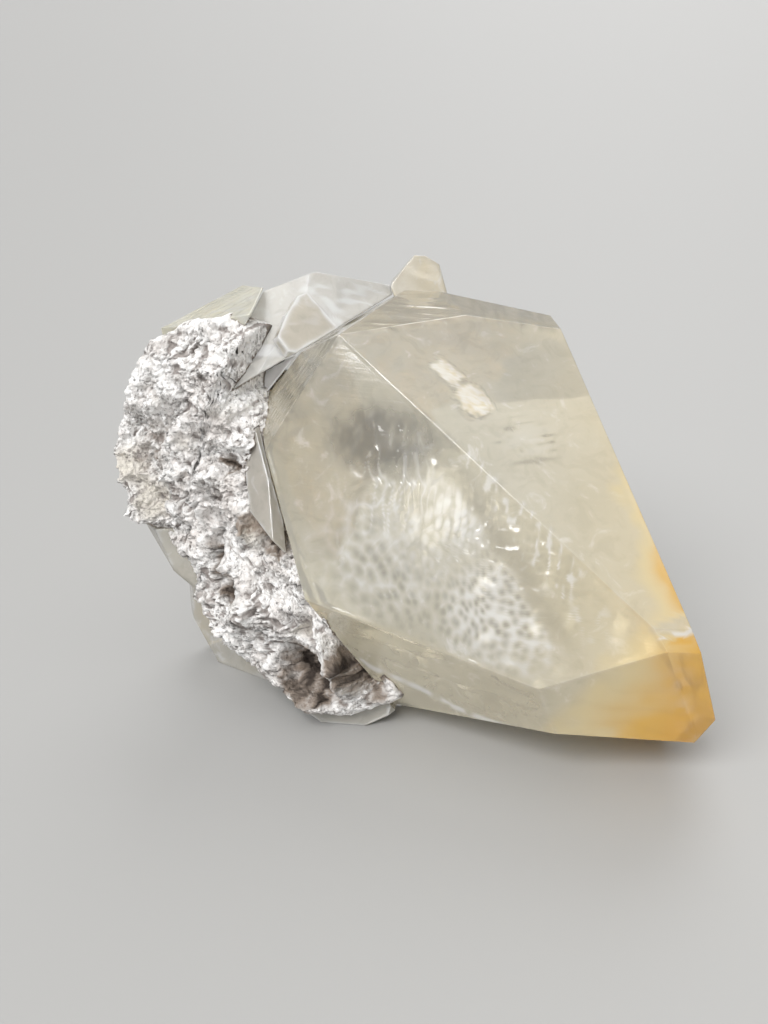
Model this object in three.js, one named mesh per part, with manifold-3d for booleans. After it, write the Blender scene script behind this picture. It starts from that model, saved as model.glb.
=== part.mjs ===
// Calcite crystal group on its matrix, in millimetres, +Z up, standing on z = 0.
// One large clear calcite crystal lies with its tip towards -Y and +X. Smaller crystals grew
// with it at the back and on the left, and a skin of rough white rock, the matrix that the
// group was broken from, covers the left front. The origin is under the middle of the group.
import * as THREE from 'three'
import { ConvexGeometry } from 'three/addons/geometries/ConvexGeometry.js'
import { mergeVertices } from 'three/addons/utils/BufferGeometryUtils.js'
import Module from 'manifold-3d'

const wasm = await Module()
wasm.setup()

// ---------------------------------------------------------------- driving dimensions
const seamGap = 0.3       // between pieces that grew against each other
const cornerMerge = 0.45  // corners of one crystal nearer than this are a single corner
const groupSpan = 240     // larger than the group, for the block under the table top

// A crystal face is [heading, rise, reach]: the direction that it looks in, in degrees from +X
// towards +Y and above the horizontal, and how far its plane stands from the origin.
//
// Seams are the flat contacts between pieces. Each is a face of the piece on its inner side,
// and the piece on its outer side starts one seam gap further out.
const seams = {
  crown: [160.5, 59.5, 65.5],     // top left of the main crystal, under the back crystal
  shoulder: [172.5, 38.5, 54.9],  // left of the main crystal, against the side crystal
  flank: [-174, -14.5, 11.2],     // left of the main crystal, against the thin plate
  root: [180, -33.5, -1.3],       // lower left of the main crystal, against its neighbours
  rear: [78, 12, 39.1],           // back of the main crystal, against the rear crystal
  saddle: [0, 20, 23.3],          // between the back crystal and the rear crystal
  gable: [180, 30, 59],           // between the back and side crystals and the left crystal
  shelf: [-100, 78, 32.5],        // under the left crystal, on the middle crystal
  sill: [-110, 62, 17.9],         // under the middle crystal, on the lower crystal
  ridge: [-65.5, 41, 30.3],       // front of the back crystal, under the small shield crystal
  toe: [83, -40, -11.4],          // behind the foot plate, against the lower crystal
}
const restFace = [0, -90, 0]

// The crystals: their own faces, and the seams that they lie inside or outside of.
const crystals = {
  main_crystal: {
    colour: 0xd9cdb0,
    faces: [
      [-69.5, 54.5, 56.2],    // long upper right face
      [-110, 25, 34.5],       // broad front face, which meets the one above in the long ridge
      [-118, -22.5, 13.7],    // narrow lower left face
      [-90.5, -16, 31.4],     // lower front face
      [-83, -13, 38.6],       // end of the lower front face, bent back at the tip
      [-73.5, 41.5, 58.5],    // small facet across the end of the ridge
      [4, 20, 52.9],          // right side
      [-5.5, -26.5, 46],      // nick below the tip
      [-102.5, 87, 70.7],     // top strip, left half
      [-0.5, 80, 72.5],       // top strip, right half
      [-161.5, 35.5, 49.6],   // steep strip along the upper left edge
      [174.5, -17, 8.9],      // left side below the shoulder
      [-100, -64.5, 4.8],     // undercut that lifts the tip off the table
      [60, -35, 8.2],         // undercut at the back
      [125, -5, 22.9],        // rear left side
      restFace,
    ],
    inside: ['crown', 'shoulder', 'flank', 'root', 'rear'],
  },
  back_crystal: {
    colour: 0xe4e1d7,
    faces: [
      [-51.5, 45, 34.3],      // bright right face
      [-96.5, 53.5, 49.5],    // left face, which meets the right one in a ridge
      [60, 72, 76.1],         // top, falling to the right
      [140, 60, 79.4],        // top, falling to the left
      [85, 8, 41.4],          // back
      [140, 10, 44.5],        // rear left side
    ],
    inside: ['gable', 'saddle', 'ridge'],
    outside: ['crown'],
  },
  shield_crystal: {
    colour: 0xc3bba9,
    faces: [
      [-65.5, 41, 32.3],      // flat front
      [27, 33, 33.4],         // right edge
      [-84.5, -27.5, -37.1],  // bottom edge, then round the left from there to the top
      [-127.5, -2.5, 4.8],
      [-162.5, 37.5, 56.2],
      [-169, 44, 62.3],
      [154, 63.5, 76.1],
    ],
    outside: ['ridge', 'crown'],
  },
  side_crystal: {
    colour: 0xd8cdc4,
    faces: [
      [-125, 30, 35.9],       // front
      [-120, -40, -26.7],     // front, below
      [90, 0, 19.3],          // back
    ],
    inside: ['gable', 'crown'],
    outside: ['shoulder'],
  },
  side_plate: {
    colour: 0xbfb8a8,
    faces: [
      [-127.5, 28.5, 41.1],   // front
      [157, 8, 30.5],         // left edge, from the top down
      [172.5, -16.5, 12.8],
      [-161.5, -37.5, -1.5],
      [-22.5, 36.5, 12.9],    // right edge
      [-29.5, 26.5, 6.5],
      [52.5, -28.5, -37.9],   // back
    ],
    outside: ['flank'],
  },
  rear_crystal: {
    colour: 0xdbd0bb,
    faces: [
      [-80, 22, 2.1],         // front
      [173.5, 39.5, 49.4],    // upper left
      [180, 5, 7.4],          // left
      [86.5, 70.5, 83.5],     // small top
      [17, 56.5, 72.8],       // upper right
      [17.5, 10.5, 31],       // right
      [95, 25, 61.3],         // back
      [80, -50, -16.9],       // underside
    ],
    outside: ['rear', 'saddle'],
  },
  left_crystal: {
    colour: 0xe2dcc0,
    faces: [
      [-156, 69.5, 75.5],     // top, in front
      [146, 51.5, 81],        // top, at the back
      [47.5, 46, 50.3],       // top, on the right
      [178, -6, 38.5],        // left side
      [-112, -8, -5.2],       // front, under the matrix
      [110, 15, 54],          // back
      [150, -12, 37],         // rear left side
      [60, 5, 15.6],          // rear right side
    ],
    outside: ['gable', 'shelf'],
  },
  middle_crystal: {
    colour: 0xdcd6cc,
    faces: [
      [130.5, -28.5, 15.3],   // left side, leaning out upwards
      [-141.5, -15.5, 27.1],  // lower left front, bare beside the matrix
      [-91, -5, -1.6],        // front, under the matrix
      [-60, -10, -10.2],      // right side
      [30, 0, -6.5],          // rear right side
      [100, -12, 20.4],       // back
    ],
    inside: ['shelf'],
    outside: ['sill', 'root'],
  },
  lower_crystal: {
    colour: 0xdad5c4,
    faces: [
      [-160.5, 2.5, 37.9],    // left end
      [-162.5, -25, 31.4],    // left end, undercut
      [-135.5, -15, 24.7],    // lower front, bare below the matrix
      [-122, 10, 18.2],       // front, under the matrix
      [85, -20, 16.4],        // back
      [130, -15, 30.9],       // rear left side
      restFace,
    ],
    inside: ['sill'],
    outside: ['toe', 'root'],
  },
  foot_plate: {
    colour: 0xb4aa9b,
    faces: [
      [-97, 32, 18.2],        // front
      [-60, 80, 6.7],         // top
      [-165, 10, 25],         // left end
      [-171.5, -60.5, 8.4],   // left end, undercut
      [-45, 10, 13.2],        // right end
      [-27, -62, 1.9],        // right end, undercut
      restFace,
    ],
    inside: ['toe'],
    outside: ['root'],
  },
}

// The matrix is a thick, lumpy skin spread over a sloping base plane. Places on it are in
// millimetres: across to the right, up the slope, and out of the base plane.
const matrix = {
  centre: new THREE.Vector3(-32, -2.7, 35),
  heading: -115,
  rise: 13,
  heart: new THREE.Vector2(6, -4),   // the place that its facets spread out from
  // Corners of the skin's edge, clockwise from the top left: [across, up, out].
  edge: [
    [-18, 32, 0], [-12, 36, -2], [-4, 38, -3], [2, 36, -3], [3, 29, -2], [5, 22, -1],
    [10, 15, -3], [16, 9, -3], [20, 0, 0], [24, -10, 2], [31, -17, 1], [38, -28, -5],
    [29, -33, -1], [22, -33, 2], [12, -30, -1], [4, -26, -2], [0, -23, -4], [-2, -17, -2],
    [-6, -11, 0], [-13, -5, 1], [-19, -2, 2], [-23.5, 10, 4], [-23, 16, 3], [-21.5, 25, 1],
  ],
  cells: 46,        // facets across the front, and across the back
  dome: 5,          // how far the front bulges out of the base plane
  depth: 13,        // how deep the rock goes in behind it
  lumps: [          // [size of the lumps, how far they stand out]
    [11, 2.6], [5.5, 2.0], [2.8, 1.0],
  ],
  // Hollows (out below 0) and bosses: [across, up, half width, half height, turn, out].
  features: [
    [21, -26, 6.5, 4.6, -35, -10],      // large cavity at the lower right
    [31, -22, 2.8, 7.0, 28, -8],        // narrow cavity along the main crystal
    [26.5, -21, 1.2, 7.0, 30, 5],       // thin wall between the two
    [14, -15, 7.5, 4.0, 8, 3.6],        // white boss above the large cavity
    [2, -10, 1.8, 7.0, 30, -4.5],       // cleft
    [-4, -6, 3.6, 2.0, 20, 2.4],        // flake beside the cleft
    [2, 11, 2.0, 1.6, 0, -3.0],         // pit
    [-9, 32, 6.0, 2.6, 8, -2.6],        // hollows below the top edge
    [-13, 16, 3.0, 4.0, 0, -2.2],
    [-16, -1, 3.6, 3.2, 0, 2.4],        // knob at the left end
    [-13, 22, 5.0, 2.4, 40, 1.8],       // ledge at the upper left
    [13, 7, 4.2, 10.0, 32, -7.5],       // trough behind the thin plate
    [1, 20, 7.0, 6.0, 0, 1.6],          // high middle
  ],
}

// ---------------------------------------------------------------- crystals
const { degToRad: radians, lerp, smoothstep } = THREE.MathUtils

function direction(heading, rise) {
  const level = Math.cos(radians(rise))
  return new THREE.Vector3(
    level * Math.cos(radians(heading)), level * Math.sin(radians(heading)), Math.sin(radians(rise)))
}

// All the planes that bound a crystal, with outward normals.
function boundary({ faces, inside = [], outside = [] }) {
  const plane = ([heading, rise, reach]) => ({ normal: direction(heading, rise), reach })
  const beyond = ([heading, rise, reach]) => ({
    normal: direction(heading, rise).negate(), reach: -reach - seamGap })
  return [
    ...faces.map(plane),
    ...inside.map(name => plane(seams[name])),
    ...outside.map(name => beyond(seams[name])),
  ]
}

// Every corner is where three planes meet, inside all the others.
function corners(planes) {
  const found = []
  const meet = new THREE.Matrix3()
  for (let i = 0; i < planes.length; i++) {
    for (let j = i + 1; j < planes.length; j++) {
      for (let k = j + 1; k < planes.length; k++) {
        const [a, b, c] = [planes[i], planes[j], planes[k]]
        meet.set(...a.normal, ...b.normal, ...c.normal)
        if (Math.abs(meet.determinant()) < 1e-6) continue
        const corner = new THREE.Vector3(a.reach, b.reach, c.reach).applyMatrix3(meet.invert())
        const isInside = planes.every(p => p.normal.dot(corner) < p.reach + 1e-6)
        const isNew = found.every(other => other.distanceTo(corner) > cornerMerge)
        if (isInside && isNew) found.push(corner)
      }
    }
  }
  return found
}

// A crystal grown by a margin on every face is what its neighbours are cut with.
function crystalGeometry(crystal, margin = 0) {
  const planes = boundary(crystal).map(p => ({ normal: p.normal, reach: p.reach + margin }))
  return new ConvexGeometry(corners(planes))
}

// ---------------------------------------------------------------- matrix
// Smooth noise between -1 and 1: a fixed value at each whole-numbered place, blended between.
function noise(x, y) {
  const valueAt = (i, j) => {
    const spread = 43758.5453 * Math.sin(12.9898 * i + 78.233 * j)
    return 2 * (spread - Math.floor(spread)) - 1
  }
  const [i, j] = [Math.floor(x), Math.floor(y)]
  const [s, t] = [smoothstep(x - i, 0, 1), smoothstep(y - j, 0, 1)]
  return lerp(
    lerp(valueAt(i, j), valueAt(i + 1, j), s), lerp(valueAt(i, j + 1), valueAt(i + 1, j + 1), s), t)
}

// How far the lumps stand out at a place. Each layer of them has ridges where its noise,
// turned by one more radian, crosses zero.
function lumpiness(across, up) {
  let out = 0
  matrix.lumps.forEach(([size, height], layer) => {
    const [cos, sin] = [Math.cos(layer + 1) / size, Math.sin(layer + 1) / size]
    const value = noise(across * cos + up * sin, up * cos - across * sin)
    out += height * (0.8 - 2 * Math.abs(value))
  })
  return out
}

// How far the front's hollows and bosses stand out at a place.
function modelling(across, up) {
  let out = 0
  for (const [a, u, halfWidth, halfHeight, turn, height] of matrix.features) {
    const [cos, sin] = [Math.cos(radians(turn)), Math.sin(radians(turn))]
    const x = ((across - a) * cos + (up - u) * sin) / halfWidth
    const y = ((up - u) * cos - (across - a) * sin) / halfHeight
    out += height * Math.exp(-((x * x + y * y) ** 2))
  }
  return out
}

// Where the ray from the heart at an angle crosses the edge's outline.
function edgeAt(angle) {
  const ray = new THREE.Vector2(Math.cos(angle), Math.sin(angle))
  const side = ([across, up]) => ray.cross(new THREE.Vector2(across, up).sub(matrix.heart))
  for (let i = 0; i < matrix.edge.length; i++) {
    const a = matrix.edge[i]
    const b = matrix.edge[(i + 1) % matrix.edge.length]
    if (side(a) < 0 || side(b) > 0 || side(a) === side(b)) continue
    const share = side(a) / (side(a) - side(b))
    const point = new THREE.Vector3(...a).lerp(new THREE.Vector3(...b), share)
    if (ray.dot(point) > ray.dot(matrix.heart)) return point
  }
}

// A square of cells is spread over the unit disc, and the disc over the edge's outline.
// Front and back share the edge: both swell as sqrt(1 - t^8) from the edge (t = 1) inwards,
// and both are lumpy. The front also has the hollows and bosses.
function matrixGeometry() {
  const { cells, dome, depth } = matrix
  const heart = new THREE.Vector3(matrix.heart.x, matrix.heart.y, 0)
  const vertices = []
  const indexOf = new Map()
  const vertexAt = (i, j, isFront) => {
    const onEdge = i === 0 || j === 0 || i === cells || j === cells
    const key = `${i} ${j} ${isFront || onEdge}`
    if (!indexOf.has(key)) {
      const u = 2 * i / cells - 1
      const v = 2 * j / cells - 1
      const x = u * Math.sqrt(1 - v * v / 2)
      const y = v * Math.sqrt(1 - u * u / 2)
      const t = onEdge ? 1 : Math.hypot(x, y)
      const point = heart.clone().lerp(edgeAt(Math.atan2(y, x)), t)
      point.z *= t
      const swell = onEdge ? 0 : Math.sqrt(1 - t ** 8)
      const lumps = lumpiness(point.x, point.y)
      point.z += swell * (isFront ? dome + lumps + modelling(point.x, point.y) : -depth - lumps)
      indexOf.set(key, vertices.push(point) - 1)
    }
    return indexOf.get(key)
  }

  const triangles = []
  for (const isFront of [true, false]) {
    for (let i = 0; i < cells; i++) {
      for (let j = 0; j < cells; j++) {
        const [a, b] = [vertexAt(i, j, isFront), vertexAt(i + 1, j, isFront)]
        const [c, d] = [vertexAt(i + 1, j + 1, isFront), vertexAt(i, j + 1, isFront)]
        triangles.push(...(isFront ? [a, b, c, a, c, d] : [a, c, b, a, d, c]))
      }
    }
  }

  const out = direction(matrix.heading, matrix.rise)
  const across = new THREE.Vector3(0, 0, 1).cross(out).normalize()
  const up = out.clone().cross(across)
  const frame = new THREE.Matrix4().makeBasis(across, up, out).setPosition(matrix.centre)
  const geometry = new THREE.BufferGeometry().setFromPoints(vertices)
  return geometry.setIndex(triangles).applyMatrix4(frame)
}

// ---------------------------------------------------------------- joining and cutting
function toSolid(geometry) {
  const bare = geometry.clone()
  bare.deleteAttribute('normal')
  bare.deleteAttribute('uv')
  const merged = mergeVertices(bare, 1e-4)
  return new wasm.Manifold(new wasm.Mesh({
    numProp: 3,
    vertProperties: new Float32Array(merged.attributes.position.array),
    triVerts: new Uint32Array(merged.index.array),
  }))
}

function toGeometry(solid) {
  const { vertProperties, triVerts } = solid.getMesh()
  const geometry = new THREE.BufferGeometry()
  geometry.setAttribute('position', new THREE.BufferAttribute(vertProperties, 3))
  return geometry.setIndex(new THREE.BufferAttribute(triVerts, 1))
}

// The rock fills the space between the crystals: it is cut by each of them, grown by the
// seam gap, and by the table. Of what is left, the largest piece is the matrix.
function cutMatrix() {
  let rock = toSolid(matrixGeometry())
  for (const crystal of Object.values(crystals)) {
    rock = rock.subtract(toSolid(crystalGeometry(crystal, seamGap)))
  }
  const table = new THREE.BoxGeometry(groupSpan, groupSpan, groupSpan)
  table.translate(0, 0, -groupSpan / 2)
  rock = rock.subtract(toSolid(table))
  const largestFirst = rock.decompose().sort((a, b) => b.volume() - a.volume())
  return toGeometry(largestFirst[0])
}

// ---------------------------------------------------------------- the group
const specimen = new THREE.Group()

function addPiece(name, geometry, colour, roughness) {
  const material = new THREE.MeshStandardMaterial({ color: colour, roughness, metalness: 0 })
  const mesh = new THREE.Mesh(geometry, material)
  mesh.name = name
  specimen.add(mesh)
}

for (const [name, crystal] of Object.entries(crystals)) {
  addPiece(name, crystalGeometry(crystal), crystal.colour, 0.15)
}
addPiece('matrix', cutMatrix(), 0xd6d0ca, 0.95)

export default specimen
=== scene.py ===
import bmesh
import bpy
import numpy as np
from mathutils import Matrix, Vector


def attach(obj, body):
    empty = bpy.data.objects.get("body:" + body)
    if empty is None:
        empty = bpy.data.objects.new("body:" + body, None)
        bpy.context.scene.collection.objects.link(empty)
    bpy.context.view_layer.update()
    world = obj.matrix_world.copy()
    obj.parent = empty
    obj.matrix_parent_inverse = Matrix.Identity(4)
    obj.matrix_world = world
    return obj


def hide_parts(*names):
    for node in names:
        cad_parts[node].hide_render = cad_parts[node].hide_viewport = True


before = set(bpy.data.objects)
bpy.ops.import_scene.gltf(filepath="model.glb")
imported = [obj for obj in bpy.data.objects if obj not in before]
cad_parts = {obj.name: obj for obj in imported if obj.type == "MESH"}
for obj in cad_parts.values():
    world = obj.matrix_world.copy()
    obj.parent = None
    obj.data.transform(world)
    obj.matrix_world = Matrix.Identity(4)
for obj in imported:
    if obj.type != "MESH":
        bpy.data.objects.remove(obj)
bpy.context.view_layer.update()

# ------------------------------------------------------------------ main crystal
# The large clear crystal of the group, calcite, about 110 mm long. It grew in the open, so its
# faces are flat, with shallow etch pits on the broad front one and growth steps along the top.
# Its tip is stained honey orange. It stands on a flat of its underside.
MM = 0.001
EDGE_ROUND = 0.2         # mm, wear along the edges of every crystal
ARC_CELLS = 3            # mesh cells across a rounded edge


def unit(vectors):
    """Each vector divided by its length."""
    return vectors / np.linalg.norm(vectors, axis=-1, keepdims=True)


def looking(heading, rise):
    """The direction at a heading from +X towards +Y and a rise above the horizontal, in degrees."""
    h, r = np.radians([heading, rise])
    return np.array([np.cos(r) * np.cos(h), np.cos(r) * np.sin(h), np.sin(r)])


def face_planes(node):
    """The flat faces of a crystal, from its CAD node, as outward normals and reaches in mm.
    Triangles that look within three degrees of a larger one are part of its face, and a face's
    plane is the mean of its triangles', weighted by their areas."""
    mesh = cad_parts[node].data
    mesh.calc_loop_triangles()
    corner = np.empty(len(mesh.vertices) * 3)
    mesh.vertices.foreach_get("co", corner)
    index = np.empty(len(mesh.loop_triangles) * 3, int)
    mesh.loop_triangles.foreach_get("vertices", index)
    a, b, c = corner.reshape(-1, 3)[index.reshape(-1, 3)].transpose(1, 0, 2) / MM
    span = np.cross(b - a, c - a)
    area = np.linalg.norm(span, axis=1) / 2
    normals, reaches = [], []
    left = area > 0.3
    while left.any():
        first = np.argmax(np.where(left, area, 0))
        alike = left & (unit(span) @ unit(span[first]) > np.cos(np.radians(3)))
        normal = unit(span[alike].sum(0))
        reach = ((a + b + c)[alike] @ normal / 3) @ area[alike] / area[alike].sum()
        normals.append(normal)
        reaches.append(reach)
        left &= ~alike
    return np.array(normals), np.array(reaches)


def corner_points(normals, reaches):
    """Where three faces meet inside all the others, and which faces pass through each point."""
    picks = np.array([(i, j, k) for i in range(len(reaches)) for j in range(i) for k in range(j)])
    picks = picks[np.abs(np.linalg.det(normals[picks])) > 1e-4]
    points = np.linalg.solve(normals[picks], reaches[picks][..., None])[..., 0]
    points = points[(points @ normals.T < reaches + 1e-6).all(1)]
    points = points[np.unique(np.round(points, 4), axis=0, return_index=True)[1]]
    return points, np.abs(points @ normals.T - reaches) < 1e-5


def facing(patch, outward):
    """A grid of places, turned over if its cells look against the outward direction."""
    cell = np.cross(patch[1:, 1:] - patch[:-1, :-1], patch[:-1, 1:] - patch[1:, :-1])
    return patch if cell.sum((0, 1)) @ outward > 0 else patch[:, ::-1]


def facing_out(patch):
    """The grid of a closed ball-like surface, turned over if its cells look inwards."""
    cell = np.cross(patch[1:, 1:] - patch[:-1, :-1], patch[:-1, 1:] - patch[1:, :-1])
    outward = patch[:-1, :-1] - patch.mean((0, 1))
    return patch if (cell * outward).sum() > 0 else patch[:, ::-1]


def crystal_patches(node, finishes, other):
    """A crystal's surface as grids of places in mm. The solid is drawn in by the edge rounding, r,
    and let out again. Each face is a fan of rings about its middle, let out by r along its normal.
    Each edge is a strip swept from one face's normal round to the other's, and each corner a
    small fan between the normals of its faces. A finish is (direction, cell, relief): the face
    that looks that way gets that mesh cell, and is raised by relief(places, normal), which fades
    out over the last millimetre before the edge. All other faces get the other (cell, relief),
    but a face that rests on the table stays flat."""
    normals, reaches = face_planes(node)
    points, on = corner_points(normals, reaches - EDGE_ROUND)
    cell = np.full(len(normals), other[0])
    reliefs = [other[1]] * len(normals)
    for direction, size, relief in finishes:
        face = np.argmax(normals @ direction)
        cell[face] = size
        reliefs[face] = relief

    def steps(count):
        return np.arange(count + 1)[:, None] / count

    def blend(a, b, t):
        return (1 - t) * a + t * b

    def edge(a, b):
        spacing = 1.4 * cell[on[a] & on[b]].min()
        return blend(points[a], points[b], steps(int(np.linalg.norm(points[b] - points[a]) / spacing) + 1))

    patches = []
    for face, normal in enumerate(normals):
        loop = np.flatnonzero(on[:, face])
        if len(loop) < 3:
            continue
        middle = points[loop].mean(0)
        side = unit(points[loop[0]] - middle)
        spokes = points[loop] - middle
        loop = loop[np.argsort(np.arctan2(spokes @ np.cross(normal, side), spokes @ side))]
        pairs = list(zip(loop, np.roll(loop, -1)))
        rim = np.vstack([edge(a, b)[:-1] for a, b in pairs] + [points[loop[:1]]])
        width = np.linalg.norm(rim - middle, axis=1)
        t = steps(max(2, int(np.median(width) / cell[face])))[:, :, None]
        places = blend(middle, rim, t)
        fade = np.clip((1 - t[..., 0]) * blend(width.min(), width, t[..., 0]), 0, normal[2] > -0.99)
        height = EDGE_ROUND + reliefs[face](places, normal) * fade ** 2 * (3 - 2 * fade)
        patches.append(facing(places + height[..., None] * normal, normal))
        for a, b in pairs:
            for far in np.flatnonzero(on[a] & on[b]):
                if far > face:
                    turn = EDGE_ROUND * unit(blend(normal, normals[far], steps(ARC_CELLS)))
                    patches.append(facing(edge(a, b)[:, None] + turn, normal + normals[far]))
    for point, faces in zip(points, on):
        around = normals[faces]
        middle = unit(around.sum(0))
        side = unit(np.cross(middle, around[0]))
        around = around[np.argsort(np.arctan2(around @ np.cross(middle, side), around @ side))]
        pairs = zip(around, np.roll(around, -1, axis=0))
        rim = np.vstack([unit(blend(a, b, steps(ARC_CELLS))) for a, b in pairs])
        patches.append(facing(point + EDGE_ROUND * np.stack([np.broadcast_to(middle, rim.shape), rim]), middle))
    return patches


def cells_of(patch):
    """The four corners of every cell of a grid of places, as indices into its flat list."""
    index = np.arange(patch.shape[0] * patch.shape[1]).reshape(patch.shape[:2])
    return np.stack([index[:-1, :-1], index[1:, :-1], index[1:, 1:], index[:-1, 1:]], -1).reshape(-1, 4)


def piece_from(name, patches, tell_kept=False):
    """One closed mesh from grids of places in mm. Places that coincide are welded, and a cell
    with two corners in one place becomes a triangle. Can also tell which places are kept."""
    starts = np.cumsum([0] + [p.shape[0] * p.shape[1] for p in patches])
    places = np.vstack([p.reshape(-1, 3) for p in patches])
    cells = np.vstack([cells_of(p) + s for p, s in zip(patches, starts)])
    _, first, weld = np.unique(np.round(places, 5), axis=0, return_index=True, return_inverse=True)
    places, cells = places[first], weld.reshape(-1)[cells]
    repeats = (cells == np.roll(cells, -1, axis=1)).sum(1)
    quads = cells[repeats == 0]
    three = cells[repeats == 1]
    doubled = np.argmax(three == np.roll(three, -1, axis=1), axis=1)
    three = three[np.arange(len(three))[:, None], (doubled[:, None] + np.arange(1, 4)) % 4]
    mesh = bpy.data.meshes.new(name)
    mesh.vertices.add(len(places))
    mesh.vertices.foreach_set("co", (places * MM).ravel())
    mesh.loops.add(quads.size + three.size)
    mesh.loops.foreach_set("vertex_index", np.concatenate([quads.ravel(), three.ravel()]))
    mesh.polygons.add(len(quads) + len(three))
    corners = np.repeat([4, 3], [len(quads), len(three)])
    mesh.polygons.foreach_set("loop_start", np.cumsum(corners) - corners)
    mesh.polygons.foreach_set("use_smooth", np.ones(len(corners), bool))
    mesh.update(calc_edges=True)
    mesh.validate()
    piece = bpy.data.objects.new(name, mesh)
    bpy.context.scene.collection.objects.link(piece)
    return (piece, first) if tell_kept else piece


def noise(*place):
    """Smooth noise between -1 and 1: a fixed value at each whole-numbered place, blended between."""
    low = [np.floor(p) for p in place]
    ease = [(p - q) ** 2 * (3 - 2 * (p - q)) for p, q in zip(place, low)]
    total = 0
    for corner in np.ndindex(*[2] * len(place)):
        spread = sum(k * (q + c) for k, q, c in zip((12.9898, 78.233, 37.719), low, corner))
        value = 2 * np.mod(43758.5453 * np.sin(spread), 1) - 1
        total = total + value * np.prod([e if c else 1 - e for e, c in zip(ease, corner)], axis=0)
    return total


def on_face(places, normal):
    """Places as distances across the face, to the right, and up its slope, in mm."""
    across = unit(np.cross([0, 1e-6, 1], normal))
    return places @ across, places @ np.cross(normal, across)


def cups(x, y, ragged=0.42):
    """A sheet of shallow cups, one to each unit square, with its lowest point scattered by ragged
    about the square's middle: the squared distance to the nearest such point."""
    nearest = np.full(np.shape(x), 9.0)
    for i, j in np.ndindex(3, 3):
        cx, cy = np.floor(x) + i - 1, np.floor(y) + j - 1
        px = cx + 0.5 + ragged * noise(cx * 1.0, cy * 1.0)
        py = cy + 0.5 + ragged * noise(cx + 57.0, cy + 31.0)
        nearest = np.minimum(nearest, (x - px) ** 2 + (y - py) ** 2)
    return nearest


def terraces(x, height, riser=0.25):
    """Growth steps, one to each unit of x: level treads that each rise by height in a short riser,
    less the mean slope."""
    part = np.clip((np.mod(x, 1) - 1 + riser) / riser, 0, 1)
    return height * (part ** 2 * (3 - 2 * part) - np.mod(x, 1))


BROAD_FRONT = looking(-110, 25)          # the faces of the main crystal, by where they look
LONG_UPPER = looking(-69.5, 54.5)
TOP_STRIPS = [looking(-102.5, 87), looking(-0.5, 80)]
LEFT_STRIP = looking(-161.5, 35.5)
LOWER_LEFT, LOWER_FRONT = looking(-118, -22.5), looking(-90.5, -16)
RIGHT_SIDE, REAR_SIDE = looking(4, 20), looking(78, 12)


def blob(x, y, centre_x, centre_y, half_width, half_height, power=2):
    """1 in the middle of an oval, falling to 0 outside: exp(-(distance)^power)."""
    return np.exp(-(((x - centre_x) / half_width) ** 2 + ((y - centre_y) / half_height) ** 2) ** (power / 2))


def pits(across, up):
    """The etch pits of the broad front, 0 at the bottom of each: 1.7 mm apart at the lower right,
    growing to 3 mm at the left, and drawn out downwards at the top, with how strong they are."""
    left = np.clip((24 - across) / 30, 0, 1)
    size = 1.7 + 1.3 * left
    drawn = 1 + 0.9 * np.clip((up - 30) / 14, 0, 1)
    sway = 0.35 * noise(across / 5, up / 5 + 9)
    strong = np.clip(1.25 * blob(across, up, 19, 25, 25, 19, 3.2), 0, 1)
    return np.clip(1.8 * cups(across / size + sway, up / (size * drawn) + sway), 0, 1), strong


def etched(places, normal):
    """The broad front face: its pits, on a gently uneven ground."""
    across, up = on_face(places, normal)
    pit, strong = pits(across, up)
    cracks = np.abs(noise(across / 0.9 + 1.2 * noise(across / 4, up / 3), up / 5)) * blob(across, up, 2, 38, 11, 9, 3)
    return 0.09 * strong * (pit - 0.5) - 0.05 * np.clip(1 - 4 * cracks, 0, 1) * (cracks > 0) \
        + 0.05 * noise(across / 6, up / 9)


def streaked(places, normal):
    """The long upper face: faint level streaks and a slow swell."""
    across, up = on_face(places, normal)
    wander = 0.5 * noise(across / 14, up / 6)
    return 0.035 * noise(across / 9, up / 1.1 + wander) + 0.10 * noise(across / 16, up / 11)


def stepped(places, normal):
    """A strip along the top: long level growth steps."""
    across, up = on_face(places, normal)
    wander = across / 34 + 0.9 * noise(across / 11, up / 6) + 0.25 * noise(across / 3, up / 2)
    return terraces(up / 2.6 + wander, 0.03, 0.5) + 0.025 * noise(across / 4, up / 0.9)


def ribbed(places, normal):
    """The strip at the left: growth steps that run up the face."""
    across, up = on_face(places, normal)
    wander = 0.9 * noise(across / 4, up / 12) + 0.2 * noise(across / 1.5, up / 5)
    return terraces(across / 1.5 + wander, 0.11, 0.4) + 0.04 * noise(across / 0.8, up / 5)


def grown(places, normal):
    """Any other face: low growth steps that wander, and a slow swell."""
    across, up = on_face(places, normal)
    return terraces(up / 7 + 0.8 * noise(across / 13, up / 10), 0.06) + 0.05 * noise(across / 4, up / 6)


def uneven(places, normal):
    """The sides away from the light: growth steps over low swellings about 3 mm wide."""
    across, up = on_face(places, normal)
    return grown(places, normal) + 0.11 * noise(across / 3.1, up / 3.4 + 7)


def vertex_places(piece):
    """Where the piece's vertices are, in mm."""
    corner = np.empty(len(piece.data.vertices) * 3)
    piece.data.vertices.foreach_get("co", corner)
    return corner.reshape(-1, 3) / MM


def paint(piece, *amounts):
    """Stores up to four amounts, from 0 to 1, at each vertex, for the material to read."""
    colour = np.ones((len(piece.data.vertices), 4))
    for channel, amount in enumerate(amounts):
        colour[:, channel] = np.clip(amount, 0, 1)
    piece.data.attributes.new("body", "FLOAT_COLOR", "POINT").data.foreach_set("color", colour.ravel())


def near_face(node, places, direction):
    """1 on the face of a crystal that looks that way, 0 a millimetre below it, and the places in
    that face's own distances."""
    normals, reaches = face_planes(node)
    face = np.argmax(normals @ direction)
    below = reaches[face] - places @ normals[face]
    return np.clip(1.3 - below, 0, 1), *on_face(places, normals[face])


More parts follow.
